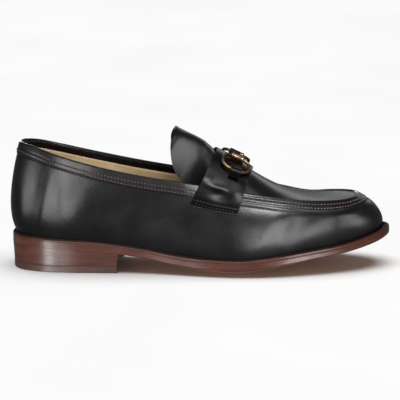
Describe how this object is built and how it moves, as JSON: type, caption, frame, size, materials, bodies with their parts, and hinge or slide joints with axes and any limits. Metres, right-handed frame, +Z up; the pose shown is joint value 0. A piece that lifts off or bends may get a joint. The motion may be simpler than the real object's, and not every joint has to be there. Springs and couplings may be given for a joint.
{
  "type": "loafer",
  "caption": "Right men's dress loafer in dark brown calf with a saddle strap, antique brass snaffle bit, raised apron seam and a brown leather sole with a stacked heel",
  "frame": {"origin": "on the floor, in the middle of the shoe's length and width", "axes": "+X towards the toe, +Y to the wearer's left (the medial side of this right shoe), +Z up"},
  "size_m": [0.2992, 0.1036, 0.111],
  "materials": {
    "calf": "polished calf, very dark brown, soft gloss",
    "lining": "smooth tan lining leather, matt",
    "sole_leather": "waxed reddish brown edge",
    "heel_rubber": "hard brown rubber, matt",
    "antique_brass": "antique brass, polished"
  },
  "bodies": {
    "root": {"outsole": "sole_leather", "welt": "sole_leather", "heel_stack": "sole_leather", "heel_top_lift": "heel_rubber", "upper": "calf", "apron_tongue": "calf", "insole": "lining", "saddle_strap": "calf", "bit_ring_lateral": "antique_brass", "bit_ring_medial": "antique_brass", "bit_sleeve_lateral": "antique_brass", "bit_sleeve_medial": "antique_brass", "bit_bar": "antique_brass", "bit_tab_lateral": "calf", "bit_tab_medial": "calf", "bit_keeper": "calf"}
  },
  "joints": []
}
